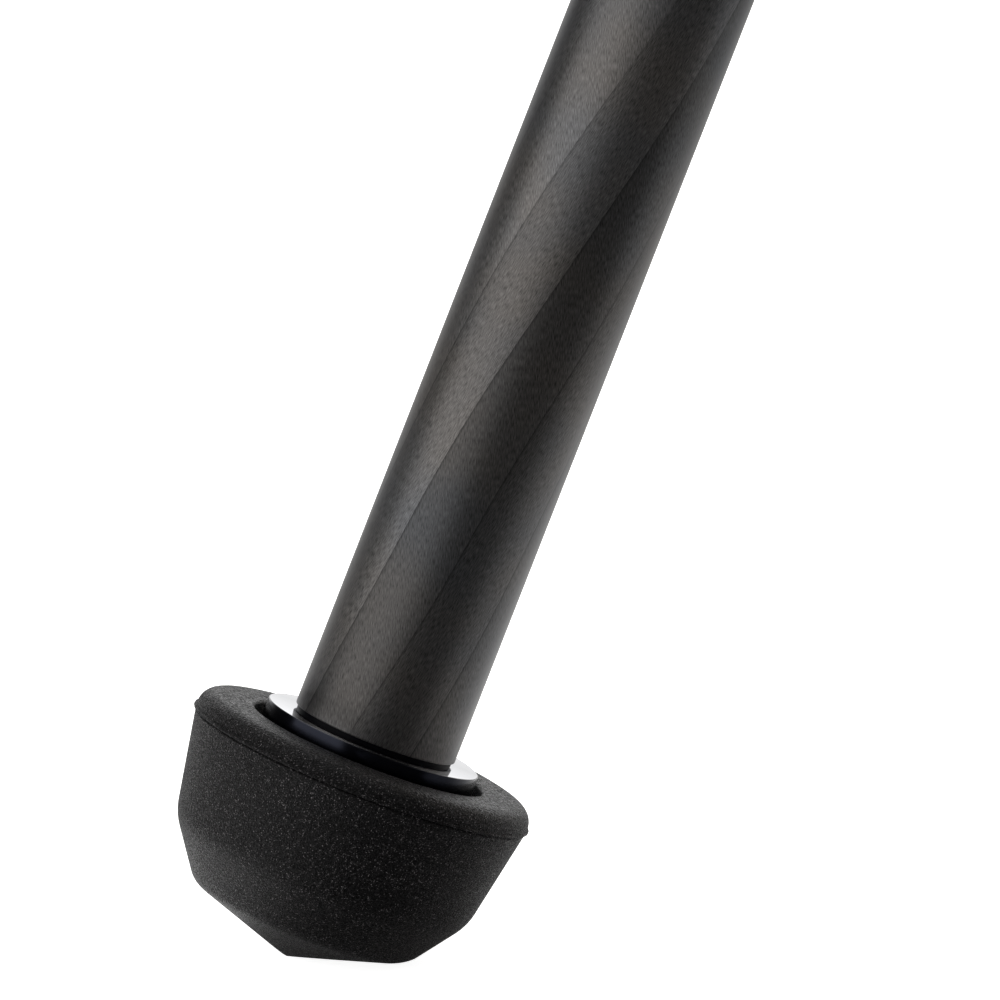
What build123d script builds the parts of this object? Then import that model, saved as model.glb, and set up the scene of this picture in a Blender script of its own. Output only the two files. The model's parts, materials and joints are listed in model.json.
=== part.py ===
from build123d import *
from math import cos, radians, sin, tan
import os

os.makedirs("parts", exist_ok=True)

# A three-section tripod with twist locks, large rubber feet and a short centre column, in millimetres.
# The origin is on the mounting plate's top face, at the head stud's axis, and +Z is up.
# Each leg is drawn upright in its own frame, with the origin on its hinge pin, +X pointing away from
# the column and the tube running down -Z, and is then leaned out to its first stop.

# Stance
leg_azimuths = (180, 300, 60)
leg_lean = 21.3
hinge_radius = 46.0
hinge_drop = 60.0

# Fits
bond = 0.05
running = 0.06
slip = 0.3
edge_break = 0.8

# Tubes
lower_tube_od = 25.0
tube_wall = 1.4
tube_gap = 0.7
middle_tube_od = lower_tube_od + 2 * (tube_wall + tube_gap)
upper_tube_od = middle_tube_od + 2 * (tube_wall + tube_gap)
upper_tube_length = 440.0
middle_tube_length = 440.0
lower_tube_length = 440.0
middle_extension = 120.0
lower_extension = 200.0
shim_length = 40.0
shim_arc = 168
tube_edge = 0.2

# Hinge
bolt_r = 4.0
bolt_head_r = 7.0
bolt_head_height = 3.6
bolt_key_r = 2.6
bolt_key_depth = 2.2
tongue_width = 25.8
tongue_side_gap = 0.4
ear_width = 7.0
ear_r = 12.0
ear_round = 1.2

# Leg head, from the hinge pin
knuckle_r = 14.4
knuckle_gap = 0.6
neck_half_depth = 13.0
neck_corner_r = 4.0
knuckle_round = 1.0
neck_end = -13.0
socket_wall = 3.0
socket_start = -30.0
socket_end = -60.0
socket_rim_chamfer = 1.2
upper_tube_top = -24.0
stop_floor = 7.2
stop_width = 14.0
stop_thickness = 4.6
stop_reach = 17.0
pull_thickness = 4.0
pull_width = 20.0
pull_height = 17.0
pull_corner_r = 4.0
pull_groove = 1.0
pull_groove_pitch = 3.0

# Twist locks, from the outer tube's end, up positive
sleeve_wall = 2.4
sleeve_grip = 19.0
sleeve_tail = 8.0
flange_height = 5.0
flange_rise = 5.2
collar_rise = 5.0
collar_end = -26.0
collar_lip = 5.0
collar_taper = 1.6
thread_gap = 0.15
ferrule_gap = 0.4
ferrule_taper = 1.0
ferrule_slit = 2.0
grip_depth = 1.2
grip_proud = 1.0
grip_upper_land = 3.0
grip_lower_land = 4.5
grip_edge = 0.7
rib_count = 30
rib_r = 1.1
closed_gap = 1.0

# Foot, from the mould line round its widest place, up positive
rim_r = 26.1
mould_line_rise = 0.35
mould_line_half = 0.45
mould_line_edge = 0.1
rim_top = 3.1
rim_round = 2.9
shoulder_r, shoulder_level = 23.0, -15.9
sole_r, sole_level = 17.2, -24.0
sole_angle = 20.0
shoulder_round = 9.0
sole_round = 4.0
foot_flange_r = 16.5
foot_flange_top = 5.0
foot_flange_edge = 0.35
recess_gap = 1.4
recess_level = 0.4
recess_round = 0.6
neck_step = 0.4
neck_height = 1.0
foot_stud_r = 4.7625
foot_stud_length = 15.0
core_r = 9.0
core_end = -13.0
core_barb_r = 11.0
core_barb_height = 3.0
core_barb_slope = 2.0
plug_length = 26.0
foot_clearance = 12.0
worn_flat = 0.15

# Spider, from the hinge pins' level, up positive
hub_rim = 1.0
hub_above = 20.0
hub_below = -11.0
hub_top_chamfer = 2.5
hub_foot_chamfer = 2.0
skirt_r = 24.0
skirt_end = -20.0
web_reach = 25.0
web_start = 12.0
web_drop = 3.0
web_crest_angle = 60
level_radius = 34.5
level_boss_r = 9.6
level_boss_height = 15.0
level_r = 7.0
level_height = 7.0
level_wall = 1.3
level_proud = 0.6
level_azimuth = 240

# Column
column_od = 28.0
column_wall = 1.5
column_length = 310.0
groove_width = 3.0
groove_depth = 0.7
column_sleeve_wall = 3.0
column_sleeve_end = -23.0
column_flange_r = 22.0
column_flange_height = 4.0
column_collar_wall = 4.4
column_collar_height = 24.0
column_collar_lip = 5.0
column_ferrule_height = 8.0
column_grip_low_land = 3.0
column_grip_top_land = 4.0

# Mounting plate and its stud
plate_r = 30.0
plate_height = 8.0
plate_under_height = 5.5
plate_under_step = 4.0
pad_thickness = 1.6
pad_depth = 1.0
pad_margin = 2.5
head_stud_r = 4.7625
head_stud_height = 9.5
head_stud_gap = 0.8
head_stud_relief = 0.7
plate_boss_length = 26.0

# Cap and hook at the column's foot
cap_r = 15.6
cap_height = 6.0
cap_plug_length = 12.0
hook_wire_r = 2.0
hook_head_r = 5.0
hook_head_height = 2.5
hook_neck = 4.0
hook_bend_r = 9.0
hook_lead_turn = 70
hook_turn = 235

# Sizes that follow from the ones above
hub_flat = hinge_radius - knuckle_r - knuckle_gap
hub_r = hub_flat + hub_rim
ear_gap = tongue_width + 2 * tongue_side_gap
socket_r = upper_tube_od / 2 + bond + socket_wall
collar_top = sleeve_grip - flange_height - slip
recess_r = foot_flange_r + recess_gap
column_bore_r = column_od / 2 - column_wall - bond
column_sleeve_r = column_od / 2 + column_sleeve_wall
column_collar_r = column_sleeve_r + column_collar_wall
pad_r = plate_r - pad_margin

# Places along a leg
upper_tube_end = upper_tube_top - upper_tube_length
middle_tube_end = upper_tube_end + collar_end - closed_gap - sleeve_grip - middle_extension
middle_tube_top = middle_tube_end + middle_tube_length
lower_tube_end = middle_tube_end + collar_end - foot_clearance - lower_extension
lower_tube_top = lower_tube_end + lower_tube_length
rim_level = lower_tube_end - neck_height - foot_flange_top
flange_floor = rim_level + recess_level
core_floor = rim_level + core_end
sole_tip = rim_level + sole_level - sole_r * tan(radians(sole_angle))

# Places on the column's axis
plate_floor = pad_depth - pad_thickness - plate_height
hinge_level = -hinge_drop
hub_top = hinge_level + hub_above
hub_bottom = hinge_level + hub_below
column_flange_top = hub_top + column_flange_height
column_collar_bottom = column_flange_top + slip
column_collar_top = column_collar_bottom + column_collar_height
column_ferrule_top = column_collar_top - column_collar_lip - slip
column_thread_top = column_ferrule_top - column_ferrule_height - slip
column_end = plate_floor - column_length

# The floor, measured from the hinge along its own normal, is where the leaned sole's edge comes lowest
floor_from_hinge = (
    (rim_level + sole_level) * cos(radians(leg_lean)) - sole_r * sin(radians(leg_lean)) + worn_flat
)


def radial_plane(azimuth, radius, level):
    """The upright plane through the column's axis at an azimuth: x runs outward and y runs up."""
    out = (cos(radians(azimuth)), sin(radians(azimuth)), 0)
    side = (sin(radians(azimuth)), -cos(radians(azimuth)), 0)
    return Plane(origin=(radius * out[0], radius * out[1], level), x_dir=out, z_dir=side)


def leg_plane(azimuth):
    """A leaned leg's frame, with its origin on the hinge pin."""
    turn, lean = radians(azimuth), radians(leg_lean)
    return Plane(
        origin=(hinge_radius * cos(turn), hinge_radius * sin(turn), hinge_level),
        x_dir=(cos(lean) * cos(turn), cos(lean) * sin(turn), sin(lean)),
        z_dir=(-sin(lean) * cos(turn), -sin(lean) * sin(turn), cos(lean)),
    )


def write(part, name):
    """Labels a finished piece and writes its file."""
    part.label = name
    export_step(part, f"parts/{name}.step")


def make_tube(od, wall, top, end):
    """A plain round tube with its edges lightly broken."""
    with BuildPart() as tube:
        with BuildSketch(Plane.XY.offset(end)):
            Circle(od / 2)
            Circle(od / 2 - wall, mode=Mode.SUBTRACT)
        extrude(amount=top - end)
        chamfer(tube.edges().filter_by(GeomType.CIRCLE), tube_edge)
    return tube.part


def make_shims(tube_od, top):
    """Two half shells clipped round an inner tube's top end, which guide it in the outer tube's bore."""
    inner = tube_od / 2 + bond
    outer = tube_od / 2 + tube_gap - running
    with BuildPart() as shims:
        for turn in (0, 180):
            with BuildSketch(Plane.XY.offset(top - shim_length)):
                with BuildLine():
                    near = CenterArc((0, 0), inner, turn - shim_arc / 2, shim_arc)
                    far = CenterArc((0, 0), outer, turn - shim_arc / 2, shim_arc)
                    Line(near @ 0, far @ 0)
                    Line(near @ 1, far @ 1)
                make_face()
            extrude(amount=shim_length)
    return shims.part


def make_lock_seat(outer_od, inner_od, end):
    """The threaded sleeve bonded round an outer tube's end, and the split ferrule that grips the inner tube."""
    bore = outer_od / 2 + bond
    thread = outer_od / 2 + sleeve_wall
    lip = inner_od / 2 + slip
    rim = outer_od / 2 + flange_rise
    grip = inner_od / 2 + running
    ferrule_r = thread - ferrule_gap
    ferrule_top = end - sleeve_tail - slip
    ferrule_end = end + collar_end + collar_lip + slip
    with BuildPart() as seat:
        with BuildSketch(Plane.XZ):
            with BuildLine():
                Polyline(
                    (bore, end + sleeve_grip),
                    (rim, end + sleeve_grip),
                    (rim, end + sleeve_grip - flange_height),
                    (thread, end + sleeve_grip - flange_height),
                    (thread, end - sleeve_tail),
                    (lip, end - sleeve_tail),
                    (lip, end - bond),
                    (bore, end - bond),
                    close=True,
                )
            make_face()
        revolve(axis=Axis.Z)
        chamfer(seat.edges().filter_by(GeomType.CIRCLE).sort_by(SortBy.RADIUS)[-2:], edge_break)
        with BuildSketch(Plane.XZ):
            with BuildLine():
                Polyline(
                    (grip, ferrule_top),
                    (ferrule_r, ferrule_top),
                    (ferrule_r - ferrule_taper, ferrule_end),
                    (grip, ferrule_end),
                    close=True,
                )
            make_face()
        revolve(axis=Axis.Z)
        with BuildSketch(Plane.XY.offset(ferrule_end)):
            with Locations((thread / 2, 0)):
                Rectangle(thread, ferrule_slit)
        extrude(amount=ferrule_top - ferrule_end + slip / 2, mode=Mode.SUBTRACT)
    return seat.part


def make_lock_collar(outer_od, inner_od, end):
    """The nut of a twist lock: threaded inside, with a lip that presses the ferrule and a recess for its grip."""
    outer = outer_od / 2 + collar_rise
    thread = outer_od / 2 + sleeve_wall + thread_gap
    lip = inner_od / 2 + slip
    seat = outer - grip_depth
    with BuildPart() as collar:
        with BuildSketch(Plane.XZ):
            with BuildLine():
                Polyline(
                    (thread, end + collar_top),
                    (outer, end + collar_top),
                    (outer, end + collar_top - grip_upper_land),
                    (seat, end + collar_top - grip_upper_land),
                    (seat, end + collar_end + grip_lower_land),
                    (outer, end + collar_end + grip_lower_land),
                    (outer - collar_taper, end + collar_end),
                    (lip, end + collar_end),
                    (lip, end + collar_end + collar_lip),
                    (thread, end + collar_end + collar_lip),
                    close=True,
                )
            make_face()
        revolve(axis=Axis.Z)
    return collar.part


def make_ribbed_ring(bore, outer, top, end):
    """A rubber ring with shallow grooves along it, which keep fingers from slipping."""
    with BuildPart() as ring:
        with BuildSketch(Plane.XY.offset(end)):
            Circle(outer)
            Circle(bore, mode=Mode.SUBTRACT)
        extrude(amount=top - end)
        chamfer(ring.edges().filter_by(GeomType.CIRCLE).sort_by(SortBy.RADIUS)[-2:], grip_edge)
        with BuildSketch(Plane.XY.offset(end)):
            with PolarLocations(outer + rib_r / 2, rib_count):
                Circle(rib_r)
        extrude(amount=top - end, mode=Mode.SUBTRACT)
    return ring.part


def make_lock_grip(outer_od, end):
    """The grip that sits in a leg collar's recess."""
    outer = outer_od / 2 + collar_rise
    return make_ribbed_ring(
        bore=outer - grip_depth + bond,
        outer=outer + grip_proud,
        top=end + collar_top - grip_upper_land - bond,
        end=end + collar_end + grip_lower_land + bond,
    )


def make_leg_head():
    """The cast knuckle on the hinge, with the socket for the upper tube and the angle stop's channel."""
    with BuildPart() as head:
        with BuildSketch(Plane.XZ):
            Circle(knuckle_r)
        extrude(amount=tongue_width / 2, both=True)
        fillet(head.edges().filter_by(GeomType.CIRCLE), knuckle_round)
        with BuildSketch(Plane.XY.offset(neck_end)):
            RectangleRounded(2 * neck_half_depth, tongue_width, neck_corner_r)
        extrude(amount=-neck_end)
        with BuildSketch(Plane.XY.offset(neck_end)):
            RectangleRounded(2 * neck_half_depth, tongue_width, neck_corner_r)
        with BuildSketch(Plane.XY.offset(socket_start)):
            Circle(socket_r)
        loft()
        with BuildSketch(Plane.XY.offset(socket_end)):
            Circle(socket_r)
        extrude(amount=socket_start - socket_end)
        mouth = head.edges().filter_by(GeomType.CIRCLE).sort_by(Axis.Z)[0]
        chamfer(mouth, socket_rim_chamfer)
        with BuildSketch(Plane.XY.offset(socket_end)):
            Circle(upper_tube_od / 2 + bond)
        extrude(amount=upper_tube_top + bond - socket_end, mode=Mode.SUBTRACT)
        with BuildSketch(Plane.XZ):
            Circle(bolt_r + running)
        extrude(amount=tongue_width, both=True, mode=Mode.SUBTRACT)
        with BuildSketch(Plane.YZ):
            with Locations((0, stop_floor + stop_thickness / 2)):
                Rectangle(stop_width + 2 * slip, stop_thickness + slip)
        extrude(amount=2 * knuckle_r, both=True, mode=Mode.SUBTRACT)
    return head.part


def make_angle_stop():
    """The sliding stop: its nose meets the spider's hub when the leg is at its first stop."""
    lean = radians(leg_lean)
    middle = stop_floor + stop_thickness / 2
    nose = (hub_flat + slip - hinge_radius + middle * sin(lean)) / cos(lean)
    slope = tan(lean) * stop_thickness / 2
    with BuildPart() as stop:
        with BuildSketch(Plane.XZ):
            with BuildLine():
                Polyline(
                    (nose - slope, stop_floor),
                    (nose + slope, stop_floor + stop_thickness),
                    (stop_reach, stop_floor + stop_thickness),
                    (stop_reach, stop_floor),
                    close=True,
                )
            make_face()
        extrude(amount=stop_width / 2, both=True)
        with BuildSketch(Plane.YZ.offset(stop_reach)):
            with Locations((0, middle)):
                RectangleRounded(pull_width, pull_height, pull_corner_r)
        extrude(amount=pull_thickness)
        chamfer(stop.faces().sort_by(Axis.X)[-1].edges(), edge_break)
        with BuildSketch(Plane.YZ.offset(stop_reach + pull_thickness)):
            with Locations((0, middle)):
                with GridLocations(0, pull_groove_pitch, 1, 4):
                    SlotOverall(pull_width - 2 * pull_corner_r, pull_groove)
        extrude(amount=-pull_groove / 2, mode=Mode.SUBTRACT)
    return stop.part


def make_tube_plug():
    """The threaded insert bonded in the lower tube, with a collar that the tube's end stands on."""
    thread = foot_stud_r + running
    plug = lower_tube_od / 2 - tube_wall - bond
    neck = lower_tube_od / 2 - neck_step
    with BuildPart() as insert:
        with BuildSketch(Plane.XZ):
            with BuildLine():
                Polyline(
                    (thread, lower_tube_end - neck_height),
                    (neck, lower_tube_end - neck_height),
                    (neck, lower_tube_end - bond),
                    (plug, lower_tube_end - bond),
                    (plug, lower_tube_end + plug_length),
                    (thread, lower_tube_end + plug_length),
                    close=True,
                )
            make_face()
        revolve(axis=Axis.Z)
    return insert.part


def make_foot_flange():
    """The metal disc on the foot, with its threaded stud above and the barbed core that the rubber holds."""
    top = rim_level + foot_flange_top
    with BuildPart() as flange:
        with BuildSketch(Plane.XZ):
            with BuildLine():
                Polyline(
                    (0, top + foot_stud_length),
                    (foot_stud_r - edge_break, top + foot_stud_length),
                    (foot_stud_r, top + foot_stud_length - edge_break),
                    (foot_stud_r, top),
                    (foot_flange_r - foot_flange_edge, top),
                    (foot_flange_r, top - foot_flange_edge),
                    (foot_flange_r, flange_floor),
                    (core_r, flange_floor),
                    (core_r, core_floor + core_barb_height + core_barb_slope),
                    (core_barb_r, core_floor + core_barb_height),
                    (core_barb_r, core_floor),
                    (0, core_floor),
                    close=True,
                )
            make_face()
        revolve(axis=Axis.Z)
    return flange.part


def make_rubber_foot():
    """The moulded foot: a rounded rim with its mould line, tapering sides, and a sole coned for the leg's lean."""
    with BuildPart() as foot:
        with BuildSketch(Plane.XZ) as outline:
            with BuildLine():
                Polyline(
                    (0, sole_tip),
                    (sole_r, rim_level + sole_level),
                    (shoulder_r, rim_level + shoulder_level),
                    (rim_r, rim_level),
                    (rim_r, rim_level + rim_top),
                    (0, rim_level + rim_top),
                    close=True,
                )
            make_face()
            corners = outline.vertices().filter_by(lambda v: v.X > core_r).sort_by(Axis.Y)
            fillet(corners[0], sole_round)
            corners = outline.vertices().filter_by(lambda v: v.X > sole_r + sole_round).sort_by(Axis.Y)
            fillet(corners[0], shoulder_round)
            fillet(outline.vertices().group_by(Axis.Y)[-1].sort_by(Axis.X)[-1], rim_round)
        revolve(axis=Axis.Z)
        with BuildSketch(Plane.XZ):
            with BuildLine():
                Polyline(
                    (core_r, rim_level - mould_line_half),
                    (rim_r - mould_line_edge, rim_level - mould_line_half),
                    (rim_r + mould_line_rise, rim_level - mould_line_edge),
                    (rim_r + mould_line_rise, rim_level + mould_line_edge),
                    (rim_r - mould_line_edge, rim_level + mould_line_half),
                    (core_r, rim_level + mould_line_half),
                    close=True,
                )
            make_face()
        revolve(axis=Axis.Z)
        with BuildSketch(Plane.XZ):
            with BuildLine():
                Polyline(
                    (0, rim_level + rim_top),
                    (recess_r, rim_level + rim_top),
                    (recess_r, flange_floor - bond),
                    (core_r + bond, flange_floor - bond),
                    (core_r + bond, core_floor + core_barb_height + core_barb_slope + bond),
                    (core_barb_r + bond, core_floor + core_barb_height + bond),
                    (core_barb_r + bond, core_floor - bond),
                    (0, core_floor - bond),
                    close=True,
                )
            make_face()
        revolve(axis=Axis.Z, mode=Mode.SUBTRACT)
        rings = foot.edges().filter_by(GeomType.CIRCLE)
        fillet(rings.group_by(Axis.Z)[-1].sort_by(SortBy.RADIUS)[0], recess_round)
        lean = radians(leg_lean)
        floor = Plane(
            origin=(floor_from_hinge * sin(lean), 0, floor_from_hinge * cos(lean)),
            z_dir=(sin(lean), 0, cos(lean)),
        )
        split(bisect_by=floor, keep=Keep.TOP)
    return foot.part


def make_ear():
    """One cheek of a hinge, drawn flat: a round eye for the bolt, and a web that runs back into the hub."""
    crest = radians(web_crest_angle)
    with BuildPart() as ear:
        with BuildSketch() as outline:
            Circle(ear_r)
            with BuildLine():
                Polyline(
                    (0, -ear_r),
                    (ear_r * cos(crest), ear_r * sin(crest)),
                    (-web_start, hub_above - web_drop),
                    (-web_reach, hub_above - web_drop),
                    (-web_reach, hub_below),
                    (-web_start, hub_below),
                    close=True,
                )
            make_face()
            back = outline.vertices().filter_by(lambda v: abs(v.X + web_start) < edge_break)
            fillet(back, ear_r)
        extrude(amount=ear_width)
        fillet(ear.edges().filter_by(Plane.XY), ear_round)
    return ear.part


def make_spider():
    """The casting at the top: a hub round the column's sleeve, a pair of ears for each leg and the level's boss."""
    bore = column_sleeve_r + bond
    ear = make_ear()
    with BuildPart() as spider:
        with BuildSketch(Plane.XZ):
            with BuildLine():
                Polyline(
                    (bore, hub_top),
                    (hub_r - hub_top_chamfer, hub_top),
                    (hub_r, hub_top - hub_top_chamfer),
                    (hub_r, hub_bottom + hub_foot_chamfer),
                    (hub_r - hub_foot_chamfer, hub_bottom),
                    (skirt_r + hub_foot_chamfer, hub_bottom),
                    (skirt_r, hub_bottom - hub_foot_chamfer),
                    (skirt_r, hinge_level + skirt_end + edge_break),
                    (skirt_r - edge_break, hinge_level + skirt_end),
                    (bore, hinge_level + skirt_end),
                    close=True,
                )
            make_face()
        revolve(axis=Axis.Z)
        for azimuth in leg_azimuths:
            side = radial_plane(azimuth, hinge_radius, hinge_level)
            add(ear.moved(side.offset(ear_gap / 2).location))
            add(ear.moved(side.offset(-ear_gap / 2 - ear_width).location))
            with BuildSketch(side.offset(-ear_gap / 2)):
                with Locations((hub_flat - hinge_radius, hub_below)):
                    Rectangle(2 * hub_rim, hub_above - hub_below, align=(Align.MIN, Align.MIN))
            extrude(amount=ear_gap, mode=Mode.SUBTRACT)
        with BuildSketch(Plane.XY.offset(hub_top - level_boss_height)):
            with PolarLocations(level_radius, 1, start_angle=level_azimuth):
                Circle(level_boss_r)
        extrude(amount=level_boss_height)
        with BuildSketch(Plane.XY.offset(hub_top - level_height)):
            with PolarLocations(level_radius, 1, start_angle=level_azimuth):
                Circle(level_r + bond)
        extrude(amount=level_height, mode=Mode.SUBTRACT)
        for azimuth in leg_azimuths:
            with BuildSketch(radial_plane(azimuth, hinge_radius, hinge_level)):
                Circle(bolt_r + running)
            extrude(amount=ear_gap / 2 + ear_width, both=True, mode=Mode.SUBTRACT)
    return spider.part


def make_hinge_bolts():
    """A shouldered bolt through each pair of ears, with a hex socket in its head and in its cap nut."""
    reach = ear_gap / 2 + ear_width
    with BuildPart() as bolts:
        for azimuth in leg_azimuths:
            pin = radial_plane(azimuth, hinge_radius, hinge_level)
            with BuildSketch(pin):
                Circle(bolt_r)
            extrude(amount=reach, both=True)
            for start, way in ((reach, 1), (-reach, -1)):
                with BuildSketch(pin.offset(start)):
                    Circle(bolt_head_r)
                extrude(amount=way * bolt_head_height)
                with BuildSketch(pin.offset(start + way * bolt_head_height)):
                    RegularPolygon(bolt_key_r, 6)
                extrude(amount=-way * bolt_key_depth, mode=Mode.SUBTRACT)
        rims = bolts.edges().filter_by(GeomType.CIRCLE)
        chamfer(rims.filter_by(lambda e: e.radius > bolt_head_r - edge_break), edge_break)
    return bolts.part


def make_column_sleeve():
    """The sleeve in the hub that the column runs in, with its lock's thread, its key and the split ferrule."""
    inner = column_od / 2 + slip
    end = hinge_level + column_sleeve_end
    grip = column_od / 2 + running
    ferrule_r = column_sleeve_r - ferrule_gap
    with BuildPart() as sleeve:
        with BuildSketch(Plane.XZ):
            with BuildLine():
                Polyline(
                    (inner, column_thread_top),
                    (column_sleeve_r, column_thread_top),
                    (column_sleeve_r, column_flange_top),
                    (column_flange_r - edge_break, column_flange_top),
                    (column_flange_r, column_flange_top - edge_break),
                    (column_flange_r, hub_top),
                    (column_sleeve_r, hub_top),
                    (column_sleeve_r, end),
                    (inner, end),
                    close=True,
                )
            make_face()
        revolve(axis=Axis.Z)
        with BuildSketch(Plane.XY.offset(end)):
            with Locations((-inner, 0)):
                Rectangle(2 * (groove_depth - slip / 2), groove_width - 2 * slip)
        extrude(amount=column_thread_top - end)
        with BuildSketch(Plane.XZ):
            with BuildLine():
                Polyline(
                    (grip, column_thread_top + slip),
                    (ferrule_r, column_thread_top + slip),
                    (ferrule_r - ferrule_taper, column_ferrule_top),
                    (grip, column_ferrule_top),
                    close=True,
                )
            make_face()
        revolve(axis=Axis.Z)
        with BuildSketch(Plane.XY.offset(column_thread_top + slip / 2)):
            with Locations((column_sleeve_r / 2, 0)):
                Rectangle(column_sleeve_r, ferrule_slit)
        extrude(amount=column_ferrule_height + slip, mode=Mode.SUBTRACT)
    return sleeve.part


def make_column_collar():
    """The column's lock: a nut above the spider with a recess for its grip."""
    thread = column_sleeve_r + thread_gap
    lip = column_od / 2 + slip
    seat = column_collar_r - grip_depth
    with BuildPart() as collar:
        with BuildSketch(Plane.XZ):
            with BuildLine():
                Polyline(
                    (thread, column_collar_bottom),
                    (column_collar_r, column_collar_bottom),
                    (column_collar_r, column_collar_bottom + column_grip_low_land),
                    (seat, column_collar_bottom + column_grip_low_land),
                    (seat, column_collar_top - column_grip_top_land),
                    (column_collar_r, column_collar_top - column_grip_top_land),
                    (column_collar_r - collar_taper, column_collar_top),
                    (lip, column_collar_top),
                    (lip, column_collar_top - column_collar_lip),
                    (thread, column_collar_top - column_collar_lip),
                    close=True,
                )
            make_face()
        revolve(axis=Axis.Z)
    return collar.part


def make_column_grip():
    """The grip round the column's lock."""
    return make_ribbed_ring(
        bore=column_collar_r - grip_depth + bond,
        outer=column_collar_r + grip_proud,
        top=column_collar_top - column_grip_top_land - bond,
        end=column_collar_bottom + column_grip_low_land + bond,
    )


def make_column_tube():
    """The column, grooved along its length so that it can't turn in its sleeve."""
    with BuildPart() as column:
        with BuildSketch(Plane.XY.offset(column_end)):
            Circle(column_od / 2)
            Circle(column_od / 2 - column_wall, mode=Mode.SUBTRACT)
            with Locations((-column_od / 2, 0)):
                Rectangle(2 * groove_depth, groove_width, mode=Mode.SUBTRACT)
        extrude(amount=column_length)
    return column.part


def make_mounting_plate():
    """The round plate that a head or a camera screws down on, with the boss that plugs the column."""
    bore = head_stud_r + bond
    with BuildPart() as plate:
        with BuildSketch(Plane.XZ):
            with BuildLine():
                Polyline(
                    (bore, -pad_thickness),
                    (pad_r + bond, -pad_thickness),
                    (pad_r + bond, pad_depth - pad_thickness),
                    (plate_r - edge_break, pad_depth - pad_thickness),
                    (plate_r, pad_depth - pad_thickness - edge_break),
                    (plate_r, pad_depth - pad_thickness - plate_under_height),
                    (plate_r - plate_under_step, plate_floor),
                    (column_bore_r, plate_floor),
                    (column_bore_r, plate_floor - plate_boss_length),
                    (bore, plate_floor - plate_boss_length),
                    close=True,
                )
            make_face()
        revolve(axis=Axis.Z)
    return plate.part


def make_plate_pad():
    """The friction disc let into the plate's top."""
    with BuildPart() as pad:
        with BuildSketch(Plane.XY):
            Circle(pad_r)
            Circle(head_stud_r + head_stud_gap, mode=Mode.SUBTRACT)
        extrude(amount=-pad_thickness)
    return pad.part


def make_head_stud():
    """The stud that a head screws on, with a relief groove where its free end starts."""
    with BuildPart() as stud:
        with BuildSketch(Plane.XY.offset(plate_floor - plate_boss_length)):
            Circle(head_stud_r)
        extrude(amount=head_stud_height - plate_floor + plate_boss_length)
        chamfer(stud.faces().sort_by(Axis.Z)[-1].edges(), edge_break)
        with BuildSketch(Plane.XY.offset(-pad_thickness)):
            Circle(head_stud_r)
            Circle(head_stud_r - head_stud_relief, mode=Mode.SUBTRACT)
        extrude(amount=pad_thickness, mode=Mode.SUBTRACT)
    return stud.part


def make_bubble_level():
    """The round level in the spider's boss: a metal cup with its clear lens."""
    low, high = hub_top - level_height + bond, hub_top + level_proud
    lens_r = level_r - level_wall
    with BuildPart() as level:
        with BuildSketch(Plane.XY.offset(low)):
            with PolarLocations(level_radius, 1, start_angle=level_azimuth):
                Circle(level_r)
        extrude(amount=high - low)
        with BuildSketch(Plane.XY.offset(low + level_wall)):
            with PolarLocations(level_radius, 1, start_angle=level_azimuth):
                Circle(lens_r)
        extrude(amount=high - low, mode=Mode.SUBTRACT)
        with BuildSketch(Plane.XY.offset(low + level_wall + bond)):
            with PolarLocations(level_radius, 1, start_angle=level_azimuth):
                Circle(lens_r - bond)
        extrude(amount=high - low - level_wall - slip)
    return level.part


def make_column_cap():
    """The plug in the column's foot, which stops the column in its sleeve and carries the hook."""
    bore = hook_wire_r + running
    with BuildPart() as cap:
        with BuildSketch(Plane.XZ):
            with BuildLine():
                Polyline(
                    (bore, column_end + cap_plug_length),
                    (column_bore_r, column_end + cap_plug_length),
                    (column_bore_r, column_end),
                    (cap_r, column_end),
                    (cap_r, column_end - cap_height + edge_break),
                    (cap_r - edge_break, column_end - cap_height),
                    (bore, column_end - cap_height),
                    close=True,
                )
            make_face()
        revolve(axis=Axis.Z)
    return cap.part


def make_bag_hook():
    """The hook that swivels in the cap: a head above it, a straight shank and an open round bend."""
    head = column_end + cap_plug_length + slip
    bend_start = column_end - cap_height - hook_neck
    swing = cos(radians(hook_lead_turn))
    with BuildPart() as hook:
        with BuildSketch(Plane.XY.offset(head)):
            Circle(hook_head_r)
        extrude(amount=hook_head_height)
        with BuildLine(Plane.XZ):
            shank = Line((0, head + hook_head_height / 2), (0, bend_start))
            lead = JernArc(shank @ 1, shank % 1, hook_bend_r * swing / (1 - swing), hook_lead_turn)
            JernArc(lead @ 1, lead % 1, hook_bend_r, -hook_turn)
        with BuildSketch(Plane.XY.offset(head + hook_head_height / 2)):
            Circle(hook_wire_r)
        sweep()
        tip = hook.edges().filter_by(GeomType.CIRCLE).sort_by(Axis.X)[0]
        fillet(tip, edge_break)
    return hook.part


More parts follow.
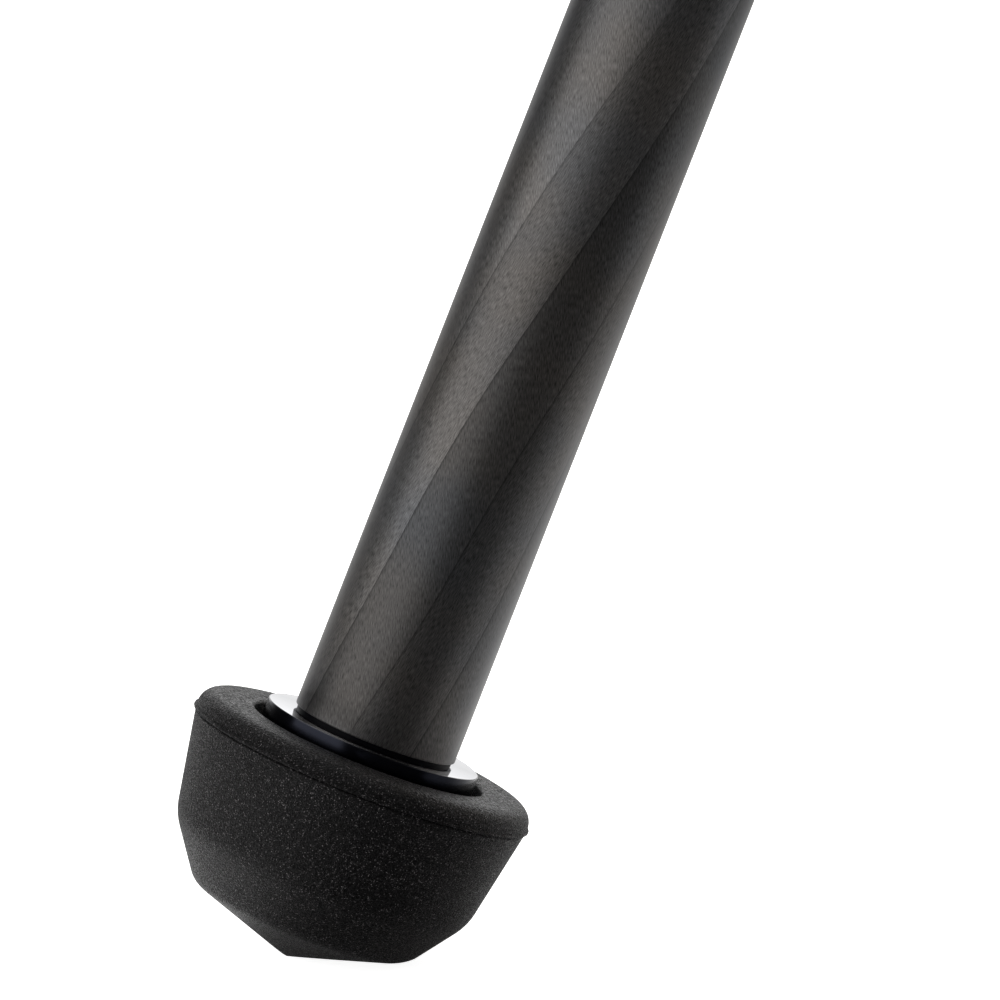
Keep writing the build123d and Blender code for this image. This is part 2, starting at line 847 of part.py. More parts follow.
# The leg's pieces, each made once in the leg's own frame
leg_pieces = {
    "head": make_leg_head(),
    "angle_stop": make_angle_stop(),
    "upper_tube": make_tube(upper_tube_od, tube_wall, upper_tube_top, upper_tube_end),
    "upper_lock_seat": make_lock_seat(upper_tube_od, middle_tube_od, upper_tube_end),
    "upper_lock_collar": make_lock_collar(upper_tube_od, middle_tube_od, upper_tube_end),
    "upper_lock_grip": make_lock_grip(upper_tube_od, upper_tube_end),
    "middle_tube": make_tube(middle_tube_od, tube_wall, middle_tube_top, middle_tube_end),
    "middle_shims": make_shims(middle_tube_od, middle_tube_top),
    "lower_lock_seat": make_lock_seat(middle_tube_od, lower_tube_od, middle_tube_end),
    "lower_lock_collar": make_lock_collar(middle_tube_od, lower_tube_od, middle_tube_end),
    "lower_lock_grip": make_lock_grip(middle_tube_od, middle_tube_end),
    "lower_tube": make_tube(lower_tube_od, tube_wall, lower_tube_top, lower_tube_end),
    "lower_shims": make_shims(lower_tube_od, lower_tube_top),
    "tube_plug": make_tube_plug(),
    "foot_flange": make_foot_flange(),
    "rubber_foot": make_rubber_foot(),
}
for number, azimuth in enumerate(leg_azimuths, start=1):
    stance = leg_plane(azimuth).location
    for name, piece in leg_pieces.items():
        write(piece.moved(stance), f"leg_{number}_{name}")

# The pieces at the top and on the column
write(make_spider(), "spider")
write(make_hinge_bolts(), "hinge_bolts")
write(make_column_sleeve(), "column_sleeve")
write(make_column_collar(), "column_lock_collar")
write(make_column_grip(), "column_lock_grip")
write(make_column_tube(), "column_tube")
write(make_mounting_plate(), "mounting_plate")
write(make_plate_pad(), "plate_pad")
write(make_head_stud(), "head_stud")
write(make_bubble_level(), "bubble_level")
write(make_column_cap(), "column_cap")
write(make_bag_hook(), "bag_hook")
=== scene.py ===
# %% [markdown]
# A camera tripod, seen close on one foot
#
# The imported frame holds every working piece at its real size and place: tubes, twist locks, hinges and
# feet. This lesson gives them their looks. Round pieces are turned again from their own outlines, so
# that they stay smooth in a close view, and every surface gets a finish that is made from nodes alone.

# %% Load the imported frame
import json
from math import cos, degrees, hypot, pi, radians, sin, sqrt, tan

import bmesh
import bpy
from mathutils import Matrix, Vector


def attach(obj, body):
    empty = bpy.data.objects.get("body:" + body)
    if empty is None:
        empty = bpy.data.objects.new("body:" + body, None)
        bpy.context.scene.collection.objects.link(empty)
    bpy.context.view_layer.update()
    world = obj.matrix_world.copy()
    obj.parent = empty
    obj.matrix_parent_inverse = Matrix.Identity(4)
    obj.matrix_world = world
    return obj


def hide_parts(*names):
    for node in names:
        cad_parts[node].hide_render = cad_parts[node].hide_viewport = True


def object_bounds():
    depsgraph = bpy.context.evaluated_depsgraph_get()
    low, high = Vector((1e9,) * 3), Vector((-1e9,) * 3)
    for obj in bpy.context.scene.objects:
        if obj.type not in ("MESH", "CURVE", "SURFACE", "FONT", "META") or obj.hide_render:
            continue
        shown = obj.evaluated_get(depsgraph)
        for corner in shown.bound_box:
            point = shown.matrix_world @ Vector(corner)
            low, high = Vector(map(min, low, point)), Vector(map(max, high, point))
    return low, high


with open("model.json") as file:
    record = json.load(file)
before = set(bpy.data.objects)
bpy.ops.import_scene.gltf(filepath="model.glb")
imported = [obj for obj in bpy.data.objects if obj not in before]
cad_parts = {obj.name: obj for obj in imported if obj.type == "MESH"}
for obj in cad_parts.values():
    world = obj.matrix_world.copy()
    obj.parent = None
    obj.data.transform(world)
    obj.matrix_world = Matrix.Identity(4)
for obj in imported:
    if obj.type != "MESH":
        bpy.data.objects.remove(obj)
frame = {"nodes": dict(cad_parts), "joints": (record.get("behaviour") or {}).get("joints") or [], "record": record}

mm = 0.001
scene = bpy.context.scene
cad_box = [list(corner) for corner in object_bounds()]
print("CAD box in metres:", cad_box)

# %% [markdown]
# Frames to work in
#
# A leg is easiest to think about upright, with its tube along Z. The record's joints say where each
# leg's hinge pin is and which way its tubes slide, and that is enough to build the matrix from the
# leg's own frame to the scene's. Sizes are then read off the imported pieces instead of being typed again.

# %% Leg frames
joints = {joint["name"]: joint for joint in frame["joints"]}
legs = (1, 2, 3)
upright = Matrix.Identity(4)


def leg_frame(number):
    """From a leg's own frame to the scene's. Z runs up the tube from the hinge pin, X points outwards."""
    up = -Vector(joints[f"leg_{number}_lower_slide"]["axis"]).normalized()
    pin = Vector(joints[f"leg_{number}_spread"]["pos_m"])
    outward = Vector((pin.x, pin.y, 0)).normalized()
    side = up.cross(outward).normalized()
    turn = Matrix((side.cross(up), side, up)).transposed()
    return Matrix.Translation(pin) @ turn.to_4x4()


leg_frames = {number: leg_frame(number) for number in legs}
tube_axis = leg_frames[1].to_3x3() @ Vector((0, 0, 1))
print("the legs lean", round(degrees(tube_axis.angle(Vector((0, 0, 1)))), 2), "degrees")


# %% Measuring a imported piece
def span(node, place):
    """A node's lowest level, highest level, bore radius and outer radius along a frame's Z axis."""
    back = place.inverted()
    points = [back @ vertex.co for vertex in frame["nodes"][node].data.vertices]
    levels = [point.z for point in points]
    radii = [hypot(point.x, point.y) for point in points]
    return min(levels), max(levels), min(radii), max(radii)


_, foot_top, _, foot_r = span("leg_1_rubber_foot", leg_frames[1])
flange_low, stud_top, _, flange_r = span("leg_1_foot_flange", leg_frames[1])
tube_end, _, _, tube_r = span("leg_1_lower_tube", leg_frames[1])
for name, radius in (("foot", foot_r), ("flange", flange_r), ("tube", tube_r)):
    print(name, round(2 * radius / mm, 2), "mm across")

# %% [markdown]
# The camera
#
# The picture is taken from a metre and a half with a long lens, so the tube's two edges stay nearly
# parallel. The camera looks a little down. It is aimed at a point up and to the right of the polished
# flange, which puts the foot in the lower left of the square picture.

# %% Camera
camera_distance = 1.5
camera_turn = radians(-2.0)
camera_rise = radians(7.9)
camera_lens, camera_sensor = 367.0, 36.0
aim_right, aim_up = 18.57 * mm, 34.75 * mm
neck_height = 1.0 * mm
flange_top = tube_end - neck_height

to_camera = Vector((
    sin(camera_turn) * cos(camera_rise),
    -cos(camera_turn) * cos(camera_rise),
    sin(camera_rise),
))
camera_right = Vector((cos(camera_turn), sin(camera_turn), 0))
camera_up = to_camera.cross(camera_right)
aim = leg_frames[1] @ Vector((0, 0, flange_top)) + camera_right * aim_right + camera_up * aim_up
camera = bpy.data.objects.new("camera", bpy.data.cameras.new("camera"))
scene.collection.objects.link(camera)
camera.data.sensor_width = camera_sensor
camera.data.lens = camera_lens
camera.location = aim + to_camera * camera_distance
camera.rotation_mode = "QUATERNION"
camera.rotation_quaternion = to_camera.to_track_quat("Z", "Y")
scene.camera = camera
print("the camera aims at", [round(value, 4) for value in aim])

# %% [markdown]
# Finishes from nodes
#
# A finish is a shader with its constant values typed on its own sockets, and a few textures for what
# really varies: colour, roughness and tiny relief. The helpers below keep the node code short. Pictures
# on the surface would be quicker to look real, but nodes stay sharp at any distance and need no files.


# %% Node helpers
def new_finish(name, **constants):
    """A material whose shader has these constant values, given as Socket_Name=value."""
    finish = bpy.data.materials.new(name)
    finish.use_nodes = True
    shader = finish.node_tree.nodes["Principled BSDF"]
    for socket, value in constants.items():
        shader.inputs[socket.replace("_", " ")].default_value = value
    return finish


def wire(finish, **outputs):
    """Links outputs to the shader's sockets, given as Socket_Name=output."""
    shader = finish.node_tree.nodes["Principled BSDF"]
    for socket, value in outputs.items():
        finish.node_tree.links.new(value, shader.inputs[socket.replace("_", " ")])


def add(finish, kind, inputs=(), **settings):
    """A new node: settings are its properties, and inputs maps a socket to a value or to an output."""
    node = finish.node_tree.nodes.new("ShaderNode" + kind)
    for key, value in settings.items():
        setattr(node, key, value)
    for socket, value in dict(inputs).items():
        if isinstance(value, bpy.types.NodeSocket):
            finish.node_tree.links.new(value, node.inputs[socket])
        else:
            node.inputs[socket].default_value = value
    return node


def calc(finish, operation, *values):
    """The result of a Math node."""
    return add(finish, "Math", dict(enumerate(values)), operation=operation).outputs[0]


def tell(finish):
    """Prints how many nodes a finish took."""
    print(finish.name, "is made from", len(finish.node_tree.nodes), "nodes")


# %% Places on a surface
def own_place(finish):
    """The place that a turned piece's surface had on the lathe, in metres, with its axis along Z."""
    return add(finish, "Attribute", attribute_name="own_place").outputs["Vector"]


def object_place(finish):
    """The object's own coordinates, in metres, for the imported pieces."""
    return add(finish, "TexCoord").outputs["Object"]


def split(finish, vector):
    """A vector's X, Y and Z outputs."""
    return add(finish, "SeparateXYZ", {"Vector": vector}).outputs


def from_axis(finish, parts):
    """The distance from the Z axis, out of a place's parts."""
    square = calc(finish, "MULTIPLY", parts["Y"], parts["Y"])
    return calc(finish, "SQRT", calc(finish, "MULTIPLY_ADD", parts["X"], parts["X"], square))


# %% Textures and colours
def noise(finish, vector, scale, detail=2.0):
    """A noise value from 0 to 1 whose blobs are about 1 / scale metres across."""
    return add(finish, "TexNoise", {"Vector": vector, "Scale": scale, "Detail": detail}).outputs[0]


def remap(finish, value, low, high, to_low, to_high, smooth=False):
    """A value carried from one range to another and held at its ends."""
    kind = "SMOOTHSTEP" if smooth else "LINEAR"
    inputs = {"Value": value, "From Min": low, "From Max": high, "To Min": to_low, "To Max": to_high}
    return add(finish, "MapRange", inputs, interpolation_type=kind).outputs["Result"]


def blend(finish, factor, first, second):
    """A colour between two others, which are outputs or (red, green, blue)."""
    ends = {6: first, 7: second}
    inputs = {socket: (*value, 1) if isinstance(value, tuple) else value for socket, value in ends.items()}
    return add(finish, "Mix", {0: factor, **inputs}, data_type="RGBA").outputs[2]


def relief(finish, height, depth, strength=1.0):
    """The normal of a surface with this relief: a height from 0 to 1 that stands for so many metres."""
    bump = add(finish, "Bump", {"Height": height, "Distance": depth, "Strength": strength})
    return bump.outputs["Normal"]


# %% [markdown]
# The room
#
# The object stands on a bright white sweep, as in a product studio where the table itself glows, so
# hardly any shadow is left. Black things are shaped by what they reflect. A large soft box at the left
# of the camera draws the long highlight on the tube, and a dark card on the floor in front keeps the
# middle of everything black. White cards beside the foot lighten the edges that look down at them.
# The cards only show in reflections. A studio would lay them outside the picture, and here the camera
# just doesn't see them. A warm lamp from behind on the right gives the thin light rim.


# %% Floor
def stage_plane(name, left, right, near, far, level, finish):
    """A flat rectangle that belongs to the studio and not to the object."""
    mesh = bpy.data.meshes.new(name)
    corners = [(left, near, level), (right, near, level), (right, far, level), (left, far, level)]
    mesh.from_pydata(corners, [], [(0, 1, 2, 3)])
    mesh.materials.append(finish)
    plane = bpy.data.objects.new(name, mesh)
    scene.collection.objects.link(plane)
    return plane


floor_level = cad_box[0][2]
floor_reach = 40
seen_glow, mirrored_glow = 0.92, 0.1
white_table = new_finish(
    "white_table",
    Base_Color=(0.8, 0.8, 0.8, 1), Roughness=0.9, Specular_IOR_Level=0.1,
    Emission_Color=(1, 1, 1, 1),
)
ray = add(white_table, "LightPath").outputs
mirrored = calc(white_table, "MULTIPLY", ray["Is Glossy Ray"], mirrored_glow)
glow = calc(white_table, "MULTIPLY_ADD", ray["Is Camera Ray"], seen_glow, mirrored)
wire(white_table, Emission_Strength=glow)
stage_plane("floor", -floor_reach, floor_reach, -floor_reach, floor_reach, floor_level, white_table)
print("the floor is at", round(floor_level, 5), "m")


# %% Cards
def card_finish(name, shade, glow):
    """A matt card that is grey by itself and may also glow."""
    return new_finish(
        name,
        Base_Color=(shade, shade, shade, 1), Roughness=0.9, Specular_IOR_Level=0.0,
        Emission_Color=(1, 1, 1, 1), Emission_Strength=glow,
    )


black_card = card_finish("black_card", 0.10, 0.0)
white_card = card_finish("white_card", 0.8, 1.1)
pale_card = card_finish("pale_card", 0.8, 0.42)
bright_card = card_finish("bright_card", 0.8, 1.6)
card_level, near_level = floor_level + mm, floor_level + 0.2 * mm
front, side, left_of_foot = -0.05, -0.47, -0.384
# Each card's left, right, near and far edge in metres, its level and its finish.
cards = {
    "dark_card": (side, 0.5, -1.2, front, card_level, black_card),
    "dark_strip": (left_of_foot, -0.32, front, -0.019, near_level, black_card),
    "side_card": (-1.4, side, -0.9, 0.5, card_level, white_card),
    "left_card": (side, left_of_foot, front, 0.06, near_level, bright_card),
    "right_card": (-0.355, -0.15, 0.004, 0.2, near_level, pale_card),
}
for name, place in cards.items():
    card = stage_plane(name, *place)
    card.visible_camera = False
    card.visible_diffuse = False
    card.visible_shadow = False
    card.visible_transmission = False
print("cards on the floor:", len(cards))

# %% World
dim_room, horizon, sweep_lamp = 0.06, 1.05, 1.9
sweep_turn = radians(5)
sweep_foot, sweep_top = 0.08, 0.30
sweep_side, sweep_middle = 0.6, 0.97
scene.view_settings.view_transform = "Standard"
world = bpy.data.worlds.new("studio")
scene.world = world
world.use_nodes = True
parts = split(world, add(world, "TexCoord").outputs["Generated"])
straight = calc(world, "MULTIPLY", parts["Y"], cos(sweep_turn))
facing = calc(world, "MULTIPLY_ADD", parts["X"], sin(sweep_turn), straight)
brightness = remap(world, parts["Z"], sweep_foot, sweep_top, horizon, sweep_lamp)
sweep = remap(world, facing, sweep_side, sweep_middle, dim_room, brightness, smooth=True)
seen = add(world, "LightPath").outputs["Is Camera Ray"]
background = world.node_tree.nodes["Background"]
background.inputs["Color"].default_value = (1, 1, 1, 1)
world.node_tree.links.new(calc(world, "MAXIMUM", seen, sweep), background.inputs["Strength"])
tell(world)

# %% Soft boxes
light_centre = Vector((-0.25, 0, -0.6))


def soft_box(name, azimuth, elevation, distance, width, height, radiance, colour=(1, 1, 1)):
    """A rectangular lamp that faces the object. Azimuth 0 is the camera's side, and 90 is on its right."""
    lamp = bpy.data.lights.new(name, "AREA")
    lamp.shape, lamp.size, lamp.size_y = "RECTANGLE", width, height
    lamp.energy = radiance * pi * width * height
    lamp.color = colour
    body = bpy.data.objects.new(name, lamp)
    scene.collection.objects.link(body)
    a, e = radians(azimuth), radians(elevation)
    away = Vector((sin(a) * cos(e), -cos(a) * cos(e), sin(e)))
    body.location = light_centre + away * distance
    body.rotation_mode = "QUATERNION"
    body.rotation_quaternion = away.to_track_quat("Z", "Y")
    body.visible_camera = False
    print(name, "gives", round(lamp.energy, 1), "W")


nearly_white, warm = (1, 0.985, 0.97), (1, 0.93, 0.86)
soft_box("key_box", azimuth=-62, elevation=24, distance=2.2, width=2.7, height=2.2,
         radiance=2.25, colour=nearly_white)
soft_box("top_box", azimuth=178, elevation=74, distance=2.6, width=2.0, height=2.0, radiance=3.2)
soft_box("back_box", azimuth=125, elevation=20, distance=2.4, width=1.2, height=1.6,
         radiance=2.4, colour=warm)
soft_box("fill_box", azimuth=70, elevation=6, distance=2.6, width=2.6, height=1.1, radiance=0.55)

# %% [markdown]
# Turning a piece
#
# Nearly everything on a tripod's leg comes off a lathe or out of a round mould. So one helper rounds
# the corners of a half outline, and another spins it. A point on the axis closes into a pole, and a
# closed outline makes a ring. Blender's Screw modifier could spin an outline too, but here a shape
# function may also bend the radius on the way, for ribs, teeth or a thread.


# %% Outline and lathe
def rounded(corners, steps=6):
    """Outline points. A corner is (radius, level) or (radius, level, fillet). A fillet becomes an arc."""
    points = []
    for number, (r, z, *fillet) in enumerate(corners):
        if not fillet:
            points.append((r, z))
            continue
        here = Vector((r, z))
        back = (Vector(corners[number - 1][:2]) - here).normalized()
        ahead = (Vector(corners[(number + 1) % len(corners)][:2]) - here).normalized()
        half = back.angle(ahead) / 2
        centre = here + (back + ahead).normalized() * fillet[0] / sin(half)
        start = here + back * fillet[0] / tan(half) - centre
        end = here + ahead * fillet[0] / tan(half) - centre
        turn = pi - 2 * half
        for step in range(steps + 1):
            t = step / steps
            reach = (start * sin((1 - t) * turn) + end * sin(t * turn)) / sin(turn)
            points.append(tuple(centre + reach))
    return points


def smooth_out(mesh, crease=35):
    """Points a mesh's faces outwards and shades it smooth, apart from edges sharper than the crease."""
    work = bmesh.new()
    work.from_mesh(mesh)
    bmesh.ops.recalc_face_normals(work, faces=work.faces)
    work.to_mesh(mesh)
    work.free()
    mesh.shade_smooth()
    mesh.set_sharp_from_angle(angle=radians(crease))


def lathe(name, outline, sides=160, closed=False, shape=None):
    """Turns (radius, level) points round Z. shape(angle, radius, level) may give another radius."""
    places, rings = [], []
    for r, z in outline:
        first = len(places)
        if r < 1e-7:
            places.append((0, 0, z))
            rings.append([first] * sides)
            continue
        rings.append(list(range(first, first + sides)))
        for side in range(sides):
            angle = 2 * pi * side / sides
            reach = shape(angle, r, z) if shape else r
            places.append((reach * cos(angle), reach * sin(angle), z))
    faces = []
    for low, high in zip(rings, rings[1:] + (rings[:1] if closed else [])):
        for side in range(sides):
            after = (side + 1) % sides
            face = list(dict.fromkeys((low[side], low[after], high[after], high[side])))
            if len(face) > 2:
                faces.append(face)
    mesh = bpy.data.meshes.new(name)
    mesh.from_pydata(places, [], faces)
    smooth_out(mesh)
    piece = bpy.data.objects.new(name, mesh)
    scene.collection.objects.link(piece)
    return piece


# %% Placing a finished piece
def settle(piece, place, body, slot, finish, *nodes):
    """Moves a mesh to its place, notes its place on the lathe for its finish, and hangs it on its body."""
    kept = piece.data.attributes.new("own_place", "FLOAT_VECTOR", "POINT")
    kept.data.foreach_set("vector", [value for vertex in piece.data.vertices for value in vertex.co])
    piece.data.transform(place)
    piece.data.materials.append(finish)
    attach(piece, body)
    if nodes:
        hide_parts(*nodes)
    return piece


# %% [markdown]
# The rubber foot
#
# The foot is moulded from black rubber with a fine grain that scatters nearly all light. Sparse bright
# flecks in its colour are painted glints. Cells and noise give both. The mould's two halves meet at the
# widest place and leave a thin, slightly ragged line there, with a dark crease under it.

# %% Foot rubber
rim_level = foot_top - 3.1 * mm
rubber_dark, rubber_light = (0.0002, 0.0002, 0.0003), (0.006, 0.0057, 0.0063)
painted_glint_grey = (0.18, 0.17, 0.175)
foot_rubber = new_finish("foot_rubber", Specular_IOR_Level=0.165)
place = own_place(foot_rubber)
height = split(foot_rubber, place)["Z"]
on_top = remap(foot_rubber, height, foot_top - 1.2 * mm, foot_top - 0.2 * mm, 0.0, 1.0)
fine, coarse = noise(foot_rubber, place, 4800, 1.0), noise(foot_rubber, place, 2800, 2.0)
grain = add(foot_rubber, "Mix", {0: on_top, 2: fine, 3: coarse}).outputs[0]
# Sparse cells become bright grey flecks in the colour: painted glints.
cells = add(foot_rubber, "TexVoronoi", {"Vector": place, "Scale": 5600})
chance = add(foot_rubber, "SeparateColor", {"Color": cells.outputs["Color"]}).outputs["Red"]
painted_glint = calc(
    foot_rubber, "MULTIPLY",
    calc(foot_rubber, "POWER", remap(foot_rubber, chance, 0.55, 1.0, 0.0, 1.0), 4.0),
    remap(foot_rubber, cells.outputs["Distance"], 0.35, 0.55, 1.0, 0.0),
)
grained = blend(foot_rubber, remap(foot_rubber, grain, 0.4, 0.7, 0.0, 1.0), rubber_dark, rubber_light)
rough = remap(foot_rubber, grain, 0.35, 0.65, 0.82, 0.36)
wire(
    foot_rubber,
    Base_Color=blend(foot_rubber, painted_glint, grained, painted_glint_grey),
    Roughness=calc(foot_rubber, "MULTIPLY_ADD", on_top, -0.12, rough),
    Normal=relief(foot_rubber, grain, 0.34 * mm),
)
tell(foot_rubber)

# %% Foot sizes
sole_level, sole_r = rim_level - 24.2 * mm, 17.25 * mm
shoulder_level, shoulder_r = rim_level - 15.9 * mm, 23.1 * mm
line_rise, line_half = 0.38 * mm, 0.15 * mm
line_wander, line_corner = 0.05 * mm, 0.1 * mm
crease_start, crease_depth = 0.1 * mm, 0.3 * mm
flat_softness = 0.6 * mm
rim_r = foot_r - line_rise
bond = 0.05 * mm
recess_r = flange_r + 1.4 * mm
flange_floor = rim_level + 0.4 * mm
core_r, barb_r = 9.0 * mm, 11.0 * mm
barb_level = flange_low + 3.0 * mm
barb_slope = 2.0 * mm
sole_slope, sole_rings = radians(20), 36
sole_tip = sole_level - sole_r * tan(sole_slope)
for name, radius in (("sole", sole_r), ("shoulder", shoulder_r)):
    print("the", name, "is", round(2 * radius / mm, 1), "mm across")


# %% Foot outline
def foot_outline():
    """The moulded foot's half outline, from the sole's tip up over the rim and down into the core's bed."""
    points = rounded([
        (0, sole_tip),
        (sole_r, sole_level, 4.0 * mm),
        (shoulder_r, shoulder_level, 9.0 * mm),
        (rim_r - crease_start, rim_level - 4 * line_half),
        (rim_r - crease_depth, rim_level - 2 * line_half),
        (rim_r + line_rise, rim_level - line_half, line_corner),
        (rim_r + line_rise, rim_level + line_half, line_corner),
        (rim_r, rim_level + 2 * line_half),
        (rim_r, foot_top, 2.6 * mm),
        (recess_r, foot_top, 0.6 * mm),
        (recess_r, flange_floor - bond),
        (core_r + bond, flange_floor - bond),
        (core_r + bond, barb_level + barb_slope + bond),
        (barb_r + bond, barb_level + bond),
        (barb_r + bond, flange_low - bond),
        (0, flange_low - bond),
    ], steps=10)
    reach = points[1][0]
    sole = []
    for ring in range(sole_rings):
        r = reach * ring / sole_rings
        sole.append((r, sole_tip + r * tan(sole_slope)))
    return sole + points[1:]


def ragged_line(angle, r, z):
    """The mould line's outer edge wanders a little."""
    if r < rim_r + line_corner:
        return r
    return r - line_wander * (1.5 + 0.5 * sin(7 * angle) + sin(29 * angle + 1) * sin(83 * angle))


# %% Foot meshes
def worn_flat(piece):
    """Wears a placed foot flat where it stands on the floor, with a soft edge round the flat."""
    for vertex in piece.data.vertices:
        height = vertex.co.z - floor_level
        vertex.co.z = floor_level + (height + hypot(height, flat_softness)) / 2


for number in legs:
    foot = lathe(f"leg_{number}_moulded_foot", foot_outline(), sides=240, shape=ragged_line)
    settle(
        foot, leg_frames[number], f"leg_{number}_lower", "foot_rubber", foot_rubber,
        f"leg_{number}_rubber_foot",
    )
    worn_flat(foot)
print("a foot has", len(foot.data.vertices), "points")

# %% [markdown]
# The polished flange
#
# The disc between the tube and the rubber is turned steel. Its top is polished like a mirror and shows
# the room, so it needs almost no colour of its own. Its side is painted near black: painted shade for the
# dark recess that it reflects. The bright line between the two is the edge that the tool broke, and it
# makes the disc read as metal.

# %% Polished metal, with its side painted dark as shade
polished = new_finish("polished_flange", Metallic=1.0)
place = own_place(polished)
parts = split(polished, place)
reach = from_axis(polished, parts)
edge_break = 0.16 * mm
# The side and the rounded edge are painted near black: painted shade for the dark recess they reflect.
painted_shade_side = calc(
    polished, "MULTIPLY",
    remap(polished, reach, flange_r - edge_break, flange_r - edge_break + 0.03 * mm, 0.0, 1.0),
    remap(polished, parts["Z"], flange_top - edge_break, flange_top, 1.0, 0.9),
)
turning = add(polished, "TexNoise", {"W": reach, "Scale": 7000}, noise_dimensions="1D").outputs[0]
smudge = noise(polished, place, 250, 3.0)
bright = blend(polished, smudge, (0.44, 0.45, 0.465), (0.50, 0.50, 0.52))
painted_shade_black = (0.012, 0.013, 0.018)
side_rough = calc(polished, "MULTIPLY", painted_shade_side, 0.16)
wire(
    polished,
    Base_Color=blend(polished, painted_shade_side, bright, painted_shade_black),
    Roughness=calc(polished, "ADD", remap(polished, smudge, 0.3, 0.7, 0.02, 0.05), side_rough),
    Normal=relief(polished, turning, 0.002 * mm, 0.1),
)
tell(polished)

# %% Flange meshes
inch = 25.4 * mm
stud_r, stud_chamfer = 3 / 8 * inch / 2, 0.8 * mm
for number in legs:
    outline = rounded([
        (0, stud_top), (stud_r - stud_chamfer, stud_top), (stud_r, stud_top - stud_chamfer),
        (stud_r, flange_top), (flange_r, flange_top, edge_break), (flange_r, flange_floor, edge_break),
        (core_r, flange_floor), (core_r, barb_level + barb_slope), (barb_r, barb_level),
        (barb_r, flange_low), (0, flange_low),
    ])
    disc = lathe(f"leg_{number}_polished_disc", outline, sides=192)
    settle(
        disc, leg_frames[number], f"leg_{number}_lower", "polished_flange", polished,
        f"leg_{number}_foot_flange",
    )
print("the flange stands", round((flange_top - rim_level) / mm, 2), "mm above the mould line")

# %% [markdown]
# The carbon tubes
#
# A tube is wound from tapes of carbon fibre. Each tape runs round it as a steep helix, so the surface
# shows long bands, and each band is a slightly different grey with one crisp dark edge. Inside a band
# the single fibres show as short fine streaks. All of it can be worked out from two numbers: the angle
# round the tube and the level along it. Carbon reflects a little like a dark metal, so its base colour
# also sets how bright its highlights are.

# %% Tapes and fibres
tapes = 8
tape_angle = radians(12)
tape_wander = 1.2
streak_angles = (radians(-17), radians(9))
streak_length, streak_width = 1.0 * mm, 0.12 * mm
warm_grey, cool_grey = (0.077, 0.072, 0.068), (0.061, 0.064, 0.069)


def streaks(finish, arc, level, angle):
    """Fine fibres: noise that is stretched along a line at an angle to the tube."""
    turned = {
        "X": calc(finish, "MULTIPLY_ADD", arc, cos(angle), calc(finish, "MULTIPLY", level, -sin(angle))),
        "Y": calc(finish, "MULTIPLY_ADD", arc, sin(angle), calc(finish, "MULTIPLY", level, cos(angle))),
    }
    sizes = {"X": streak_width, "Y": streak_length}
    stretched = {axis: calc(finish, "DIVIDE", turned[axis], sizes[axis]) for axis in "XY"}
    vector = add(finish, "CombineXYZ", stretched).outputs[0]
    inputs = {"Vector": vector, "Scale": 1.0, "Detail": 2.0}
    return add(finish, "TexNoise", inputs, noise_dimensions="2D").outputs[0]


# %% Carbon
def carbon_finish(name, radius, place_of):
    """Carbon for a tube of one radius, whose place comes from place_of."""
    finish = new_finish(name, Metallic=0.85)
    place = place_of(finish)
    parts = split(finish, place)
    angle = calc(finish, "ARCTAN2", parts["Y"], parts["X"])
    arc = calc(finish, "MULTIPLY", angle, radius)
    climb = tapes * tan(tape_angle) / (2 * pi * radius)
    climbed = calc(finish, "MULTIPLY", parts["Z"], -climb)
    turns = calc(finish, "MULTIPLY_ADD", angle, tapes / (2 * pi), climbed)
    turns = calc(finish, "ADD", turns, calc(finish, "MULTIPLY", noise(finish, place, 7), tape_wander))
    across_tape = calc(finish, "FRACT", turns)
    tape = calc(finish, "FLOORED_MODULO", calc(finish, "FLOOR", turns), tapes)
    tone = add(finish, "TexWhiteNoise", {"W": tape}, noise_dimensions="1D").outputs["Value"]
    one, other = (streaks(finish, arc, parts["Z"], angle) for angle in streak_angles)
    fibre = add(finish, "Mix", {0: calc(finish, "FLOORED_MODULO", tape, 2), 2: one, 3: other}).outputs[0]
    crispness = remap(finish, noise(finish, place, 14), 0.38, 0.52, 0.85, 0.5)
    dark_edge = remap(finish, across_tape, 0.0, 0.05, crispness, 0.9, smooth=True)
    shade = calc(finish, "ADD", dark_edge, calc(finish, "MULTIPLY", across_tape, 0.3))
    shade = calc(finish, "MULTIPLY", shade, remap(finish, tone, 0, 1, 0.9, 1.2))
    shade = calc(finish, "MULTIPLY", shade, remap(finish, fibre, 0.2, 0.8, 0.35, 1.65))
    coolness = remap(finish, noise(finish, place, 45), 0.3, 0.7, 0.0, 1.0)
    colour = blend(finish, coolness, warm_grey, cool_grey)
    shaded = add(finish, "VectorMath", {0: colour, "Scale": shade}, operation="SCALE")
    wire(
        finish,
        Base_Color=shaded.outputs[0],
        Roughness=remap(finish, fibre, 0.3, 0.7, 0.36, 0.46),
    )
    tell(finish)
    return finish


# %% Tube meshes
sections = {"lower": "_lower", "middle": "_middle", "upper": ""}
tube_edge, over_neck = 0.2 * mm, 0.4 * mm
for section, body_end in sections.items():
    low, high, bore, outer = span(f"leg_1_{section}_tube", leg_frames[1])
    carbon = carbon_finish(f"carbon_{section}", outer, own_place)
    if section == "lower":
        low -= over_neck
    outline = rounded([
        (bore, low, tube_edge), (outer, low, tube_edge),
        (outer, high, tube_edge), (bore, high, tube_edge),
    ], steps=4)
    for number in legs:
        tube = lathe(f"leg_{number}_{section}_wound_tube", outline, closed=True)
        settle(
            tube, leg_frames[number], f"leg_{number}{body_end}", "carbon_tube", carbon,
            f"leg_{number}_{section}_tube",
        )
    print(section, "tubes", round(2 * outer / mm, 2), "mm across and", round((high - low) / mm), "mm long")

# %% [markdown]
# The twist locks
#
# A lock is a black nut with a rubber grip let into it. The nut is turned, so light draws fine rings
# on it. The grip is moulded with grooves along it. They could be cut with a boolean, thirty at a time,
# but a shape function lowers them while the grip is spun and leaves a clean mesh.

